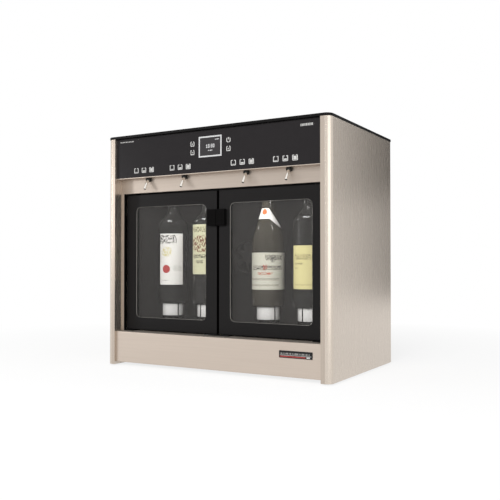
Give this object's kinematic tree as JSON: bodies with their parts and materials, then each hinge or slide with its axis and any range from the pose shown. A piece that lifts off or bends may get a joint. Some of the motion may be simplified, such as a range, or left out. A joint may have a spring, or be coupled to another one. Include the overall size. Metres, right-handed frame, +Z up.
{
  "type": "wine preservation dispenser",
  "caption": "Counter-top cabinet that keeps opened wine bottles under gas behind two glass doors and pours measured servings from spouts under a black touch fascia.",
  "frame": {"origin": "middle of the footprint, on the surface that the feet rest on", "axes": "+Z up, +Y from the front towards the back, +X to the right as seen from the front"},
  "size_m": [0.582, 0.367, 0.545],
  "materials": {
    "cover_paint": "satin black paint",
    "side_steel": "brushed, warm champagne tone",
    "front_steel": "brushed, warm champagne tone",
    "fascia_glass": "black glass, glossy",
    "display": "dark display",
    "board": "green circuit board",
    "badge": "glossy black",
    "sheet": "plain grey sheet",
    "grille": "matte black",
    "rubber": "matte black",
    "liner": "dark grey",
    "foam": "pale foam",
    "light": "frosted",
    "hinge": "matte black",
    "door_border": "black, satin",
    "door_glass": "clear",
    "pull": "black",
    "guide": "turned",
    "platform": "polished, pale",
    "spring_steel": "spring wire",
    "bottle_dark": "very dark green",
    "bottle_red": "very dark red",
    "stopper": "black",
    "head": "black",
    "spout": "polished",
    "collar": "black",
    "valve": "plated",
    "hose_clear": "translucent",
    "hose_white": "white",
    "brass": "machined",
    "supply": "plain",
    "inlet": "black",
    "rocker": "black",
    "sink": "plain",
    "ceramic": "white",
    "fan": "black"
  },
  "bodies": {
    "cabinet": {"top_cover": "cover_paint", "side_panel_left": "side_steel", "side_panel_right": "side_steel", "control_fascia": "fascia_glass", "fascia_carrier": "front_steel", "display_module": "display", "control_board": "board", "front_frame": "front_steel", "plinth_panel": "front_steel", "badge_plate": "badge", "base_pan": "sheet", "rear_panel": "sheet", "rear_grille": "grille", "rubber_feet": "rubber", "cabin_liner": "liner", "cabin_insulation": "foam", "led_strips": "light", "hinge_brackets": "hinge", "door_stop_plate": "hinge", "lift_guides": "guide", "lift_spring_1": "spring_steel", "lift_spring_2": "spring_steel", "lift_spring_3": "spring_steel", "lift_spring_4": "spring_steel", "docking_heads": "head", "spout_tubes": "spout", "spout_collars": "collar", "pinch_valves": "valve", "wine_lines": "hose_clear", "gas_lines": "hose_white", "gas_manifold": "brass", "power_supply": "supply", "power_inlet": "inlet", "cold_sink": "sink", "thermoelectric_module": "ceramic", "hot_sink": "sink", "fan_frames": "fan"},
    "left_door": {"door_frame_left": "door_border", "door_glass_left": "door_glass", "door_gasket_left": "rubber", "door_pull_left": "pull"},
    "right_door": {"door_frame_right": "door_border", "door_glass_right": "door_glass", "door_gasket_right": "rubber", "door_pull_right": "pull"},
    "lift_1": {"lift_platform_1": "platform", "bottle_1": "bottle_dark", "bottle_stopper_1": "stopper"},
    "lift_2": {"lift_platform_2": "platform", "bottle_2": "bottle_dark", "bottle_stopper_2": "stopper"},
    "lift_3": {"lift_platform_3": "platform", "bottle_3": "bottle_red", "bottle_stopper_3": "stopper"},
    "lift_4": {"lift_platform_4": "platform", "bottle_4": "bottle_dark", "bottle_stopper_4": "stopper"},
    "cold_fan": {"cold_fan_rotor": "fan"},
    "hot_fan": {"hot_fan_rotor": "fan"},
    "rocker": {"power_rocker": "rocker"}
  },
  "joints": [
    {"name": "right_door_hinge", "type": "hinge", "parent": "cabinet", "child": "right_door", "pos_m": [0.254, -0.138, 0.25], "axis": [0, 0, 1], "range_deg": [0, 95]},
    {"name": "left_door_hinge", "type": "hinge", "parent": "cabinet", "child": "left_door", "pos_m": [-0.254, -0.138, 0.25], "axis": [0, 0, -1], "range_deg": [0, 95]},
    {"name": "lift_1_slide", "type": "slide", "parent": "cabinet", "child": "lift_1", "axis": [0, 0, 1], "range_m": [-0.04, 0], "stiffness_N_per_m": 600, "springref_m": 0.045, "deforming": ["lift_spring_1"]},
    {"name": "lift_2_slide", "type": "slide", "parent": "cabinet", "child": "lift_2", "axis": [0, 0, 1], "range_m": [-0.04, 0], "stiffness_N_per_m": 600, "springref_m": 0.045, "deforming": ["lift_spring_2"]},
    {"name": "lift_3_slide", "type": "slide", "parent": "cabinet", "child": "lift_3", "axis": [0, 0, 1], "range_m": [-0.04, 0], "stiffness_N_per_m": 600, "springref_m": 0.045, "deforming": ["lift_spring_3"]},
    {"name": "lift_4_slide", "type": "slide", "parent": "cabinet", "child": "lift_4", "axis": [0, 0, 1], "range_m": [-0.04, 0], "stiffness_N_per_m": 600, "springref_m": 0.045, "deforming": ["lift_spring_4"]},
    {"name": "cold_fan_spin", "type": "hinge", "parent": "cabinet", "child": "cold_fan", "pos_m": [0, -0.004, 0.258], "axis": [0, 1, 0], "continuous": true},
    {"name": "hot_fan_spin", "type": "hinge", "parent": "cabinet", "child": "hot_fan", "pos_m": [0, 0.087, 0.258], "axis": [0, 1, 0], "continuous": true},
    {"name": "power_rocker_tilt", "type": "hinge", "parent": "cabinet", "child": "rocker", "pos_m": [-0.2, 0.169, 0.128], "axis": [1, 0, 0], "range_deg": [0, 20]}
  ]
}
